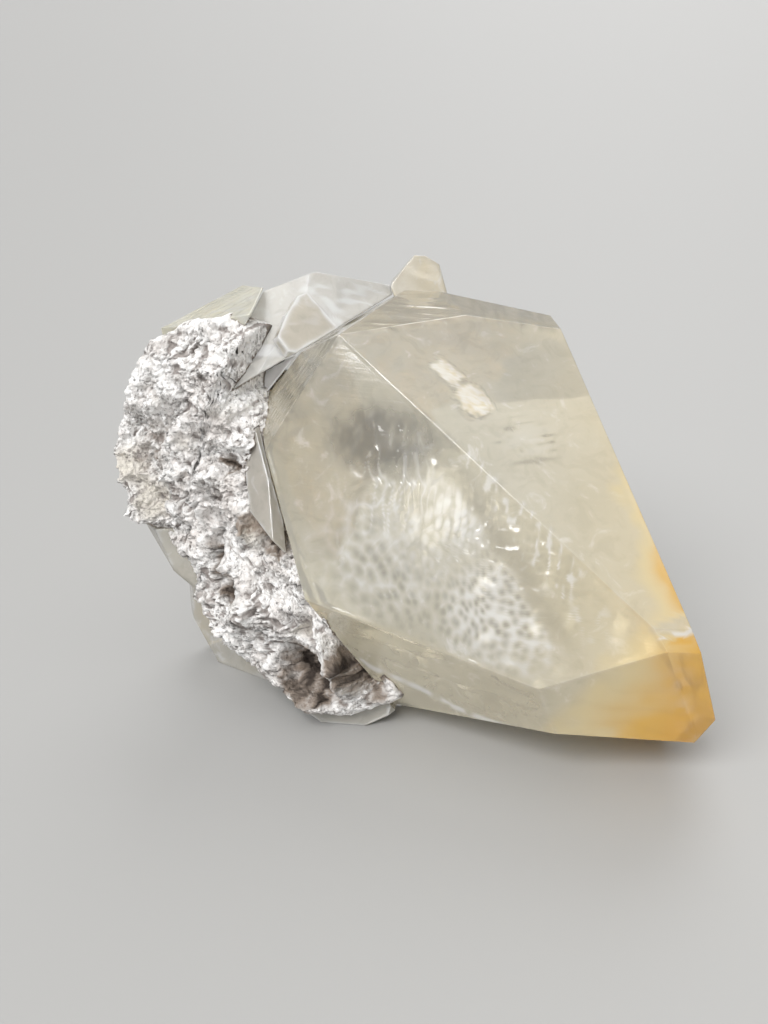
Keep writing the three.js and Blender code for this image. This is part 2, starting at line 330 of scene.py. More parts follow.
def shader_node(tree, kind, settings=None, **sockets):
    """Adds a shader node and gives back its outputs. Settings are the node's own choices, and
    each socket takes a number, a colour or another node's output."""
    made = tree.nodes.new("ShaderNode" + kind)
    for name, value in (settings or {}).items():
        setattr(made, name, value)
    for name, value in sockets.items():
        socket = made.inputs[int(name[1:]) if name[1:].isdigit() else name.replace("_", " ")]
        if isinstance(value, bpy.types.NodeSocket):
            tree.links.new(value, socket)
        else:
            socket.default_value = value
    return made.outputs


def tinted(tree, amount, first, second):
    """The first colour where the amount is 0, the second where it is 1."""
    mix = tree.nodes.new("ShaderNodeMix")
    mix.data_type = "RGBA"
    for socket, value in ((mix.inputs[0], amount), (mix.inputs[6], first), (mix.inputs[7], second)):
        if isinstance(value, bpy.types.NodeSocket):
            tree.links.new(value, socket)
        else:
            socket.default_value = value if isinstance(value, float) else (*value, 1)
    return mix.outputs[2]


def ramp(tree, value, low, high, first=0.0, second=1.0):
    """A smooth climb from first at low to second at high."""
    return shader_node(tree, "MapRange", {"interpolation_type": "SMOOTHSTEP"}, Value=value,
                       From_Min=low, From_Max=high, To_Min=first, To_Max=second)["Result"]


def clear_calcite(name, pale, deep, murk, density, transmission=0.6, roughness=0.06):
    """Calcite that lets light through. Its body drifts between pale and deep, and the painted amounts
    whiten it with milk and painted light, darken it with smoke and painted shade, or stain it with
    iron. Fine growth lines and a faint etch break up its gloss. The murk is the colour that a depth of it lets
    through."""
    material = bpy.data.materials.new(name)
    material.use_nodes = True
    tree = material.node_tree
    shader = tree.nodes["Principled BSDF"]
    place = shader_node(tree, "TexCoord")["Object"]
    cloud = shader_node(tree, "TexNoise", Vector=place, Scale=60.0, Detail=6.0, Roughness=0.62)["Fac"]
    colour = tinted(tree, ramp(tree, cloud, 0.36, 0.66), pale, deep)
    wisps = shader_node(tree, "TexNoise", Vector=place, Scale=210.0, Detail=7.0, Roughness=0.6, Distortion=1.2)["Fac"]
    colour = tinted(tree, ramp(tree, wisps, 0.34, 0.50, 0.45, 0.0), colour, [0.82 * c for c in deep])
    colour = tinted(tree, ramp(tree, wisps, 0.55, 0.72, 0.0, 0.6), colour, (1.0, 0.995, 0.98))
    body = shader_node(tree, "Attribute", {"attribute_name": "body"})
    milk_and_light, smoke_and_shade, honey = shader_node(tree, "SeparateColor", Color=body["Color"]).values()
    # The second amount darkens: smoke, and on the main crystal painted shade as well.
    colour = tinted(tree, ramp(tree, smoke_and_shade, 0.0, 1.0), colour, (0.30, 0.29, 0.265))
    colour = tinted(tree, ramp(tree, honey, 0.02, 0.45), colour, (0.93, 0.78, 0.46))
    colour = tinted(tree, ramp(tree, honey, 0.35, 1.0), colour, (0.95, 0.54, 0.08))
    # The first amount whitens: milk, and on the main crystal painted light as well.
    colour = tinted(tree, ramp(tree, milk_and_light, 0.0, 1.0), colour, (0.99, 0.995, 1.0))
    tree.links.new(colour, shader.inputs["Base Color"])
    lines = shader_node(tree, "Mapping", Vector=place, Scale=(60, 60, 1300))["Vector"]
    lines = shader_node(tree, "TexNoise", Vector=lines, Scale=1.0, Detail=2.0)["Fac"]
    etch = shader_node(tree, "TexNoise", Vector=place, Scale=1400.0, Detail=3.0)["Fac"]
    normal = shader_node(tree, "Bump", Strength=0.10, Distance=0.0002, Height=lines)["Normal"]
    normal = shader_node(tree, "Bump", Strength=0.10, Distance=0.0001, Height=etch, Normal=normal)["Normal"]
    tree.links.new(normal, shader.inputs["Normal"])
    shader.inputs["Transmission Weight"].default_value = transmission
    shader.inputs["IOR"].default_value = 1.6
    shader.inputs["Roughness"].default_value = roughness
    shader.inputs["Coat Weight"].default_value = 0.5
    shader.inputs["Coat Roughness"].default_value = 0.05
    inside = shader_node(tree, "VolumeAbsorption", Color=(*murk, 1), Density=density)["Volume"]
    tree.links.new(inside, tree.nodes["Material Output"].inputs["Volume"])
    return material


def edge_wear(node, places, width=0.35, gaps=0.9):
    """1 on the edges of a crystal, fading inwards, with gaps: exp(-distance / width), where the
    distance is how far below its second nearest face a place is."""
    normals, reaches = face_planes(node)
    below = np.sort(np.abs(reaches - places @ normals.T), axis=1)[:, 1]
    return np.exp(-below / width) * np.clip(0.55 + gaps * noise(*(places.T / 1.7)), 0, 1)


def main_crystal_body(places):
    """How milky, smoky and honey-coloured the main crystal is at each place, with painted light among the milk and
    painted shade among the smoke. On the broad front a band of painted shade runs from under the ridge to the tip: it
    is the shade of the rear edge. Milk and painted light gather below the band and in the pits, and painted glints lie
    in dashes above it. The strips along the top and at the left, and the lower left face, get painted shade."""
    on_front, x, y = near_face("main_crystal", places, BROAD_FRONT)
    pit, strong = pits(x, y)
    over_band = 0.737 * (x - 8.5) + 0.677 * (y - 45.4) + 0.8 * noise(x / 4, y / 4)
    below_band = 1 / (1 + np.exp(2.2 * over_band))
    # Painted light over the crystal's own milk: a glow in the middle of the broad front, below the band.
    glow = np.maximum(blob(x, y, 21, 35, 11, 9), 0.85 * blob(x, y, 28, 18, 13, 10, 4))
    glow = np.maximum(glow, 0.6 * blob(x, y, 5, 24, 15, 11, 3)) * below_band
    filled = blob(x, y, 13.5, 31.5, 8, 9, 3)
    # The painted light follows the pits: white in the walls between them and, in the filled patch, in the pits
    # themselves.
    rim = np.clip(2.4 * pit - 0.1, 0, 1)
    network = (1 - filled) * pit + filled * (1.1 - rim)
    network = network * (0.75 + 0.25 * noise(x / 0.9, y / 0.9)) + 0.2 * noise(x * 1.3, y * 1.3)
    # Painted glints: short bright dashes above the band.
    glint_dashes = np.clip(1.8 * noise(x / 0.6 + 0.5 * noise(x / 3, y / 3), y / 1.6) - 0.4, 0, 1)
    milk_and_light = glow * (0.35 + 0.95 * network) + 0.7 * glint_dashes * blob(over_band, 0, 7, 0, 4, 1, 4) * blob(x, y, 24, 30, 28, 20, 4)
    squiggles = np.clip(1 - 2.5 * np.abs(noise(x / 1.1 + 0.7 * noise(x / 3, y / 2.5), y / 5)), 0, 1)
    milk_and_light = milk_and_light + 0.5 * squiggles * blob(x, y, 3, 36, 10, 9, 3)
    # Painted shade: a dark band where the shade of the rear edge shows, along over_band = 0.
    shade_band = blob(over_band, 0, 1.8, 0, 2.8, 1) * blob(x, y, 24, 28, 24, 24, 6)
    smoke_and_shade = np.maximum(0.45 * shade_band, blob(x, y, 1.5, 44, 11, 6.5, 2.5) * (
        0.95 + 0.3 * noise(x / 3, y / 3) + 0.25 * noise(x / 1.1, y / 1.8) + 0.15 * noise(x / 0.6, y)))
    # Painted shade in the pits: dark dots, stronger where the glow is.
    smoke_and_shade = np.maximum(smoke_and_shade, strong * ((1 - filled) * 0.8 * (1 - pit) ** 3 + 0.4 * filled * rim) * (0.4 + 0.6 * glow))
    smoke_and_shade = np.maximum(smoke_and_shade, (0.22 + 0.12 * noise(x / 2.5, y / 5)) * blob(x, y, -14, 48, 14, 22, 4))
    milk_and_light, smoke_and_shade = milk_and_light * on_front, smoke_and_shade * on_front
    milk_and_light = np.maximum(milk_and_light, 0.3 * edge_wear("main_crystal", places))

    on_upper, x, y = near_face("main_crystal", places, LONG_UPPER)
    ragged = 0.22 * noise(x / 1.2, y / 1.2) + 0.14 * noise(x / 0.6, y / 0.6)
    along, beside = 0.52 * (x - 6.8) - 0.86 * (y - 32.2), 0.86 * (x - 6.8) + 0.52 * (y - 32.2)
    reach = np.minimum(np.maximum(np.abs(along) / 2.9, np.abs(beside) / 1.7),
                       np.hypot((x - 9.7) / 3.1, (y - 25.3 + 0.3 * (x - 9.7)) / 3.5) ** 1.3) + ragged
    cream = np.clip(7 * (1 - reach), 0, 1) * on_upper
    crumbs = np.clip(0.70 + 0.35 * noise(x / 0.8, y / 0.9) + 0.25 * noise(x / 0.45 + 9, y / 0.5), 0, 1)
    streaks = noise(x / 3.5 + 0.4 * noise(x / 2, y / 2), y / 0.8 + 3)
    streaked_part = blob(x, y, 16.5, 15, 6, 5.5, 4)
    smoke_and_shade = np.maximum(smoke_and_shade, on_upper * np.maximum(streaked_part * np.clip(1.8 * streaks - 0.25, 0, 0.9), (0.26 + 0.15 * noise(x / 6, y / 3)) * blob(x, y, 6, 42, 26, 14, 4)))
    # Painted shade: the strips along the top and at the left are greyed, darker than the faces beside them.
    for strip in (*TOP_STRIPS, LEFT_STRIP):
        on_strip, x, y = near_face("main_crystal", places, strip)
        smoke_and_shade = np.maximum(smoke_and_shade, on_strip * np.clip(0.34 + 0.3 * noise(x / 5, y / 0.9), 0, 1))
    milk_and_light = np.maximum(milk_and_light, on_upper * np.maximum(0.35 * blob(x, y, 30, 5, 16, 22), streaked_part * np.clip(-0.8 * streaks, 0, 0.25)))
    milk_and_light = np.maximum(milk_and_light * (1 - cream), 0.85 * cream * crumbs)
    smoke_and_shade = np.maximum(smoke_and_shade * (1 - cream), 0.5 * on_upper * np.clip(1 - 6 * np.abs(reach - 1.12), 0, 1))

    normals, reaches = face_planes("main_crystal")
    right = np.argmax(normals @ RIGHT_SIDE)
    inwards = reaches[right] - places @ normals[right] + 1.8 * noise(*(places.T / 6)) + noise(*(places.T / 2))
    height = places[:, 2]
    edge = np.exp(-np.clip(inwards, 0, None) / (1.5 + 6 * np.clip((60 - height) / 50, 0, 1))) \
        * np.clip((60 - height) / 22, 0, 1)
    out = places @ np.array([0.80, -0.46, -0.38]) + 3 * noise(*(places.T / 9)) + 1.5 * noise(*(places.T / 3))
    tip = np.clip((out - 29) / 19, 0, 1) ** 1.3
    honey = np.maximum(0.8 * edge, tip)
    honey = np.maximum(honey, 0.19 * cream + 0.22 * np.clip((places[:, 0] - 5) / 35, 0, 1))
    on_upper, x, y = near_face("main_crystal", places, LONG_UPPER)
    x, y = x + 0.2 * noise(x / 1.5, y / 1.5), y + 0.3 * noise(x / 2, y / 2)
    honey = np.maximum(honey, on_upper * blob(x, y, 28.5, -26.5, 6.5, 1.6, 6))
    honey = honey * (1 - 0.7 * on_upper * blob(x, y, 30, -23.0, 6.0, 1.6, 6))
    milk_and_light = np.maximum(milk_and_light, on_upper * blob(x, y, 30, -24.5, 6.0, 0.35, 6))
    on_lower, x, y = near_face("main_crystal", places, LOWER_LEFT)
    seam = np.interp(x, [-4, 4.5, 14.8, 20.5, 30], [28, 19.6, 17.0, 14.6, 12]) + 0.5 * noise(x / 3, 0 * x)
    milk_and_light = np.maximum(milk_and_light, on_lower * blob(y - seam, 0, 0.45, 0, 1, 1) * np.clip(0.9 + noise(x / 2, y / 2), 0, 1))
    # Painted shade: the lower left face, which looks down, is darkened.
    smoke_and_shade = np.maximum(smoke_and_shade, on_lower * (0.22 + 0.12 * noise(x / 5, y / 5)))
    honey = np.maximum(honey, 0.13 * on_lower)
    for strip in TOP_STRIPS:
        honey = np.maximum(honey, 0.12 * near_face("main_crystal", places, strip)[0])
    return milk_and_light, smoke_and_shade, honey


main_crystal = piece_from("main_crystal_finished", crystal_patches("main_crystal", [
    (BROAD_FRONT, 0.34, etched), (LONG_UPPER, 0.5, streaked), (TOP_STRIPS[0], 0.5, stepped),
    (TOP_STRIPS[1], 0.5, stepped), (LEFT_STRIP, 0.4, ribbed), (LOWER_LEFT, 0.5, grown),
    (LOWER_FRONT, 0.7, grown)], (0.85, uneven)))
paint(main_crystal, *main_crystal_body(vertex_places(main_crystal)))
main_crystal.data.materials.append(clear_calcite(
    "honey_calcite", pale=(0.73, 0.70, 0.60), deep=(0.66, 0.63, 0.525), murk=(0.96, 0.88, 0.66), density=8.0,
    transmission=0.63, roughness=0.11))
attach(main_crystal, "root")
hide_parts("main_crystal")


# Two blocks of cream calcite lie inside the main crystal, under the upper face: crumbly, with
# blunt edges. Each is a lump with six sides.
def block_inside(centre, across, up, deep, turn):
    """A rounded block: a sphere of directions, each let out to |x|^5 + |y|^5 + |z|^5 = 1, then
    made ragged by noise, stretched to its half sizes and laid along the upper face."""
    east = np.linspace(0, 2 * np.pi, 49)[:, None]
    north = np.linspace(-np.pi / 2, np.pi / 2, 25)[None, :]
    ball = np.stack([np.cos(east) * np.cos(north), np.sin(east) * np.cos(north), np.sin(north) + 0 * east], -1)
    ball[:, [0, -1]] = [[0, 0, -1], [0, 0, 1]]
    ball[-1] = ball[0]
    shape = ball / (np.abs(ball) ** 5).sum(-1, keepdims=True) ** 0.2
    ragged = noise(*(2.2 * np.moveaxis(shape, -1, 0) + centre[0])) + 0.5 * noise(*(5 * np.moveaxis(shape, -1, 0)))
    shape = shape * (1 + 0.20 * ragged[..., None]) * np.array([across, up, deep])
    sideways = unit(np.cross([0, 0, 1], LONG_UPPER))
    slope = np.cross(LONG_UPPER, sideways)
    cos, sin = np.cos(np.radians(turn)), np.sin(np.radians(turn))
    return centre + shape @ np.stack([cos * sideways + sin * slope, cos * slope - sin * sideways, LONG_UPPER])


def under_upper_face(across, up, depth):
    """A place in the main crystal, by its distances on the upper face and its depth below it."""
    sideways = unit(np.cross([0, 0, 1], LONG_UPPER))
    return across * sideways + up * np.cross(LONG_UPPER, sideways) + (56.2 - depth) * LONG_UPPER


inclusions = piece_from("calcite_inclusions", [
    facing_out(block_inside(under_upper_face(6.8, 32.2, 1.9), 1.6, 3.2, 1.2, 31)),
    facing_out(block_inside(under_upper_face(9.3, 25.6, 2.1), 2.7, 3.4, 1.3, 15))])
cream_rock = bpy.data.materials.new("inclusion_calcite")
cream_rock.use_nodes = True
tree = cream_rock.node_tree
place = shader_node(tree, "TexCoord")["Object"]
grain = shader_node(tree, "TexNoise", Vector=place, Scale=420.0, Detail=6.0, Roughness=0.7)["Fac"]
tree.links.new(tinted(tree, ramp(tree, grain, 0.38, 0.62), (0.96, 0.90, 0.72), (0.74, 0.62, 0.38)),
               tree.nodes["Principled BSDF"].inputs["Base Color"])
tree.links.new(shader_node(tree, "Bump", Strength=0.6, Distance=0.0004, Height=grain)["Normal"],
               tree.nodes["Principled BSDF"].inputs["Normal"])
tree.nodes["Principled BSDF"].inputs["Roughness"].default_value = 0.6
inclusions.data.materials.append(cream_rock)
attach(inclusions, "root")


def small_crystal(node, stuff, relief=grown, cell=0.5, wear=0.7, width=0.35, gaps=0.9, stain=0.0, veil=0.0):
    """Finishes a crystal of the group from its CAD node: a relief on its faces, worn edges, white
    veils drawn out along it, and cloudy patches of smoke and of iron stain."""
    crystal = piece_from(node + "_finished", crystal_patches(node, (), (cell, relief)))
    places = vertex_places(crystal)
    cloud = noise(*(places.T / 5)) + 0.5 * noise(*(places.T / 2))
    x, y, z = places.T
    veils = veil * np.clip(1.8 * noise((x + 0.5 * z) / 7, (y + z) / 1.6 + cloud, (z - y) / 2.5) - 0.2, 0, 1)
    milk_and_light = np.maximum(wear * edge_wear(node, places, width, gaps), veils)
    paint(crystal, milk_and_light, 0.25 * cloud, stain * (0.6 - 0.7 * cloud))
    crystal.data.materials.append(stuff)
    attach(crystal, "root")
    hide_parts(node)
    return crystal


# ------------------------------------------------------------------ back crystal
# A broad clear crystal behind the main one, white and bright inside, with flat faces that meet
# in a low roof. It grew beside the main crystal and is locked to it.
white_calcite = clear_calcite("white_calcite", pale=(0.86, 0.84, 0.79), deep=(0.78, 0.76, 0.71),
                              murk=(0.95, 0.93, 0.86), density=6.0)
small_crystal("back_crystal", white_calcite, veil=0.9)

# ------------------------------------------------------------------ shield crystal
# A small beige crystal at the head of the ridge, a flat shield with a bright white rim. It stands
# on the shoulder of the main crystal.
beige_calcite = clear_calcite("beige_calcite", pale=(0.74, 0.69, 0.59), deep=(0.65, 0.60, 0.51),
                              murk=(0.9, 0.84, 0.7), density=14.0, roughness=0.16)
small_crystal("shield_crystal", beige_calcite, cell=0.3, wear=2.6, width=0.45, gaps=0.3, veil=0.3)

# ------------------------------------------------------------------ side crystal and thin plate
# Between the rock and the main crystal: a pinkish white crystal face above, and below it a thin
# smooth plate of greyish beige that leans over a gap in the rock.
pink_calcite = clear_calcite("pinkish_calcite", pale=(1.0, 0.985, 0.975), deep=(0.97, 0.95, 0.94),
                             murk=(0.97, 0.94, 0.92), density=1.0, transmission=0.5)
small_crystal("side_crystal", pink_calcite)
grey_calcite = clear_calcite("greyish_beige_calcite", pale=(0.74, 0.70, 0.62), deep=(0.66, 0.62, 0.55),
                             murk=(0.9, 0.86, 0.76), density=14.0, roughness=0.14)
small_crystal("side_plate", grey_calcite, cell=0.4, wear=1.0)

# ------------------------------------------------------------------ rear crystal
# A stubby cream crystal that stands up behind the top edge, with a rounded, slightly dull end.
cream_calcite = clear_calcite("cream_calcite", pale=(0.89, 0.84, 0.72), deep=(0.82, 0.76, 0.63),
                              murk=(0.94, 0.86, 0.68), density=12.0, roughness=0.16)
small_crystal("rear_crystal", cream_calcite, stain=0.15)

# ------------------------------------------------------------------ left crystal
# A pale yellow crystal at the upper left, behind the rock, with strong ribs up its faces.
yellow_calcite = clear_calcite("pale_yellow_calcite", pale=(0.97, 0.95, 0.83), deep=(0.89, 0.865, 0.73),
                               murk=(0.95, 0.9, 0.68), density=10.0)
small_crystal("left_crystal", yellow_calcite, ribbed, 0.4, stain=0.12, veil=0.6)

# ------------------------------------------------------------------ middle, lower and foot crystals
# Clear greyish crystals under the rock: one at its left edge, a larger broken one below it that
# the group stands on, and a thin plate at the foot of the cavity with a chipped edge.
clear_grey_calcite = clear_calcite("clear_grey_calcite", pale=(0.77, 0.74, 0.66), deep=(0.68, 0.645, 0.565),
                                   murk=(0.92, 0.86, 0.72), density=14.0)
small_crystal("middle_crystal", clear_grey_calcite, cell=0.7)
small_crystal("lower_crystal", clear_grey_calcite, cell=0.8, stain=0.1, veil=0.5)
small_crystal("foot_plate", clear_grey_calcite, cell=0.4, wear=1.0)

# ------------------------------------------------------------------ matrix
# The rock that the crystals grew on: white and grey, crumbly and sugary, with dark brown cavities
# at the lower right. Its crevices are darkened with painted shade, and its cavities with painted
# shade over their brown. It is a thick skin broken from the vein, and it fills the places between
# the crystals. Places on it are in mm: across to the right, up the slope, out of its base plane.
ROCK_CENTRE = np.array([-32, -2.7, 35])
ROCK_OUT = looking(-115, 13)
ROCK_HEART = np.array([-7, 0])
ROCK_EDGE = np.array([      # clockwise from the top left: across, up, out
    [-18, 32, 0], [-12, 36, -2], [-4, 38, -3], [1.5, 36.5, -6], [1.3, 31, -8], [1.3, 26, -8.5], [3.4, 22.5, -8],
    [7, 18.5, -5], [10, 15, -3], [16, 9, -3], [20, 0, 0], [24, -10, 2], [31, -17, 1], [38, -28, -5],
    [29, -33, -1], [22, -33, 2], [12, -30, -1], [4, -26, -2], [0, -23, -4], [-3, -17, -2],
    [-6, -11, 0], [-13, -5, 1], [-19, -2, 2], [-23.5, 10, 4], [-23, 16, 3], [-21.5, 25, 1]])
ROCK_LUMPS = [(11, 2.4), (5.5, 1.5), (2.8, 0.8)]      # size, and how far they stand out
ROCK_HOLLOWS = [            # across, up, half width, half height, turn, out
    (21, -26, 6.5, 4.6, -35, -10),      # large cavity at the lower right
    (31, -22, 2.8, 7.0, 28, -8),        # narrow cavity along the main crystal
    (2, -10, 1.8, 7.0, 30, -4.5),       # cleft
    (2, 11, 2.0, 1.6, 0, -3.0),         # pit
    (-9, 32, 6.0, 2.6, 8, -2.6),        # hollows below the top edge
    (-13, 16, 3.0, 4.0, 0, -1.0),
    (13, 7, 4.2, 10.0, 32, -7.5)]       # trough behind the thin plate
ROCK_BOSSES = [
    (26.5, -21, 1.2, 7.0, 30, 5),       # thin wall between the two cavities
    (14, -15, 7.5, 4.0, 8, 3.6),        # white boss above the large cavity
    (-4, -6, 3.6, 2.0, 20, 2.4),        # flake beside the cleft
    (-16, -1, 3.6, 3.2, 0, 2.4),        # knob at the left end
    (-13, 22, 5.0, 2.4, 40, 1.8),       # ledge at the upper left
    (1, 20, 7.0, 6.0, 0, 1.6)]          # high middle
ROCK_SMOOTH = [             # where it is smoother and half clear: across, up, half width, half height, turn
    (-19, 8, 4.5, 8, 0), (-13, 2, 4, 5, 0), (9, -2, 2.6, 6, 10), (20, -17.5, 5, 1.8, 8), (-6, 30, 5, 2.5, 15)]
ROCK_BROWN_AND_SHADE = [              # stained dark brown, and in the hollows painted shade as well: the same numbers, and how strongly
    (21, -26, 7.0, 5.6, -35, 1), (31, -22, 3.4, 7.6, 28, 1), (2, -10, 1.8, 7.0, 30, 0.8), (13, -1, 3, 4, 0, 0.7),
    (2, 11, 2.2, 1.8, 0, 0.7), (-15, 12, 5, 7, 0, 0.32), (8, 1.5, 3.2, 2.4, 30, 0.6), (-16, -6, 4, 4, 0, 0.42)]
ROCK_CELLS = 268
ROCK_DOME, ROCK_DEPTH = 5, 13
TILES = [(5.0, 0.8), (1.7, 0.6), (0.75, 0.5)]       # size of the broken facets, and their height
CRUMBS = [(3.1, 0, 0.9), (2.2, 0.36, 0.3), (0.9, 0.24, 0.14), (0.45, 0.14, 0.05)]   # size of the crumbling, how far it goes, and more in the brown places


def patch_of(across, up, centre_across, centre_up, half_width, half_height, turn):
    """1 inside an oval place on the rock, falling steeply to 0 outside: exp(-(distance)^4)."""
    cos, sin = np.cos(np.radians(turn)), np.sin(np.radians(turn))
    x = ((across - centre_across) * cos + (up - centre_up) * sin) / half_width
    y = ((up - centre_up) * cos - (across - centre_across) * sin) / half_height
    return np.exp(-(x * x + y * y) ** 2)


def lumps(across, up):
    """Layers of noise, each turned by one more radian, with ridges where the noise is zero."""
    out = 0
    for layer, (size, height) in enumerate(ROCK_LUMPS):
        cos, sin = np.cos(layer + 1) / size, np.sin(layer + 1) / size
        out = out + height * (0.8 - 2 * np.abs(noise(across * cos + up * sin, up * cos - across * sin)))
    return out


def tiles(x, y):
    """Broken facets, about one to each unit square. Each is a flat tile with its own level and
    tilt: level + tilt * (way from the tile's middle), for the nearest of the scattered middles."""
    nearest, height = np.full(x.shape, 9.0), np.zeros(x.shape)
    for i, j in np.ndindex(3, 3):
        cx, cy = np.floor(x) + i - 1, np.floor(y) + j - 1
        dx = x - cx - 0.5 - 0.45 * noise(cx, cy)
        dy = y - cy - 0.5 - 0.45 * noise(cx + 57, cy + 31)
        tile = noise(cx + 11, cy + 5) + 1.2 * noise(cx + 3, cy + 71) * dx + 1.2 * noise(cx + 37, cy + 13) * dy
        closer = dx * dx + dy * dy < nearest
        nearest, height = np.where(closer, dx * dx + dy * dy, nearest), np.where(closer, tile, height)
    return height


def rock_edge(x, y):
    """Where the ray from the heart towards (x, y) crosses the outline of the rock's edge."""
    found = np.zeros((*x.shape, 3))
    for a, b in zip(ROCK_EDGE, np.roll(ROCK_EDGE, -1, axis=0)):
        side_a = x * (a[1] - ROCK_HEART[1]) - y * (a[0] - ROCK_HEART[0])
        side_b = x * (b[1] - ROCK_HEART[1]) - y * (b[0] - ROCK_HEART[0])
        share = side_a / np.where(side_a == side_b, 1, side_a - side_b)
        point = a + share[..., None] * (b - a)
        ahead = (point[..., 0] - ROCK_HEART[0]) * x + (point[..., 1] - ROCK_HEART[1]) * y > 0
        found = np.where(((side_a >= 0) & (side_b <= 0) & (side_a != side_b) & ahead)[..., None], point, found)
    return found


def rock_patch(is_front):
    """A square of cells is spread over a disc, and the disc over the edge's outline. Front and
    back swell from the edge (t = 1) inwards as sqrt(1 - t^8), and share the edge. Three sizes of
    broken facets stand on the front, and two sizes of noise crumble every place. Also gives, at
    each place, how much painted shade it gets, more in the crevices between the facets, how brown it is, with painted
    shade in the hollows, and how smooth."""
    u = np.linspace(-1, 1, ROCK_CELLS + 1)[:, None] * np.ones(ROCK_CELLS + 1)
    v = u.T
    x, y = u * np.sqrt(1 - v * v / 2), v * np.sqrt(1 - u * u / 2)
    t = np.hypot(x, y)
    t[(np.abs(u) == 1) | (np.abs(v) == 1)] = 1
    rim = rock_edge(x, y)
    shoulder = np.interp(np.hypot(rim[..., 0] - ROCK_HEART[0], rim[..., 1] - ROCK_HEART[1]), [9, 20], [4, 8])
    place = t[..., None] * rim + (1 - t[..., None]) * np.array([*ROCK_HEART, 0])
    across, up = place[..., 0], place[..., 1]
    sway_across = across + 0.8 * noise(across / 2, up / 2) + 0.3 * noise(across / 0.7, up / 0.7)
    sway_up = up + 0.8 * noise(across / 2 + 40, up / 2) + 0.3 * noise(across / 0.7 + 40, up / 0.7)
    smooth = sum(patch_of(sway_across, sway_up, *oval) for oval in ROCK_SMOOTH)
    smooth = np.clip(smooth + 0.9 * noise(across / 7 + 5, up / 7) - 0.35, 0, 1)
    brown_and_shade = sum(strength * patch_of(sway_across, sway_up, *oval) for *oval, strength in ROCK_BROWN_AND_SHADE)
    brown_and_shade = brown_and_shade * (1 + 0.5 * noise(across / 1.1, up / 1.1) + 0.3 * noise(across / 0.5, up / 0.5))
    crust = np.clip(brown_and_shade, 0, 1)
    height = lumps(across, up)
    crevice_shade = 0
    if is_front:
        hollow = sum(out * patch_of(across, up, *oval) for *oval, out in ROCK_HOLLOWS)
        boss = sum(out * patch_of(across, up, *oval) for *oval, out in ROCK_BOSSES)
        height = ROCK_DOME + height + hollow + boss
        for layer, (size, rise) in enumerate(TILES):
            cos, sin = np.cos(layer + 1) / size, np.sin(layer + 1) / size
            tile = tiles(sway_across * cos + sway_up * sin, sway_up * cos - sway_across * sin)
            rough = 1 if layer == 0 else (1 - 0.85 * smooth) * (1 - 0.7 * crust)
            height = height + rise * rough * tile
            # Painted shade gathers where the facets lie low.
            crevice_shade = crevice_shade - rough * tile * (0.25, 0.5, 0.6)[layer]
        crevice_shade = crevice_shade + 0.35 * noise(across / 5, up / 5 + 20)
    else:
        height = -ROCK_DEPTH - height
    place[..., 2] = place[..., 2] * t ** 4 + np.sqrt(1 - t ** shoulder) * height
    for size, stand, crusty in CRUMBS:
        q = place / size
        moves = [noise(q[..., 0] + 31 * k, q[..., 1] + 17 * k, q[..., 2] - 23 * k) for k in range(3)]
        place = place + (stand * (1 - 0.6 * smooth) + crusty * crust)[..., None] * np.stack(moves, -1)
    across_axis = unit(np.cross([0, 0, 1], ROCK_OUT))
    axes = np.stack([across_axis, np.cross(ROCK_OUT, across_axis), ROCK_OUT])
    amounts = np.stack([np.broadcast_to(crevice_shade, t.shape), brown_and_shade, smooth], -1)
    way = slice(None, None, 1 if is_front else -1)
    return (ROCK_CENTRE + place @ axes)[:, way], amounts[:, way]


def cutter_of(node):
    """The CAD node of a crystal, welded and shrunk by a thousandth, to cut the rock with."""
    shape = bmesh.new()
    shape.from_mesh(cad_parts[node].data)
    bmesh.ops.remove_doubles(shape, verts=shape.verts, dist=0.00001)
    middle = sum((v.co for v in shape.verts), Vector()) / len(shape.verts)
    bmesh.ops.scale(shape, vec=Vector((0.999, 0.999, 0.999)), verts=shape.verts, space=Matrix.Translation(-middle))
    mesh = bpy.data.meshes.new(node + "_cutter")
    shape.to_mesh(mesh)
    shape.free()
    cutter = bpy.data.objects.new(node + "_cutter", mesh)
    bpy.context.scene.collection.objects.link(cutter)
    return cutter


def drop_loose_bits(mesh):
    """Leaves only the largest connected part of a mesh. Each vertex takes the lowest number among
    its neighbours, over and over, until the vertices of each part have one number."""
    ends = np.empty(len(mesh.edges) * 2, int)
    mesh.edges.foreach_get("vertices", ends)
    a, b = ends.reshape(-1, 2).T
    part, before = np.arange(len(mesh.vertices)), None
    while before is None or (part != before).any():
        before, lowest = part, np.minimum(part[a], part[b])
        part = part.copy()
        for index in (a, b, before[a], before[b]):
            np.minimum.at(part, index, lowest)
        part = part[part]
    loose = np.flatnonzero(part != np.bincount(part).argmax())
    shape = bmesh.new()
    shape.from_mesh(mesh)
    shape.verts.ensure_lookup_table()
    bmesh.ops.delete(shape, geom=[shape.verts[i] for i in loose], context="VERTS")
    shape.to_mesh(mesh)
    shape.free()


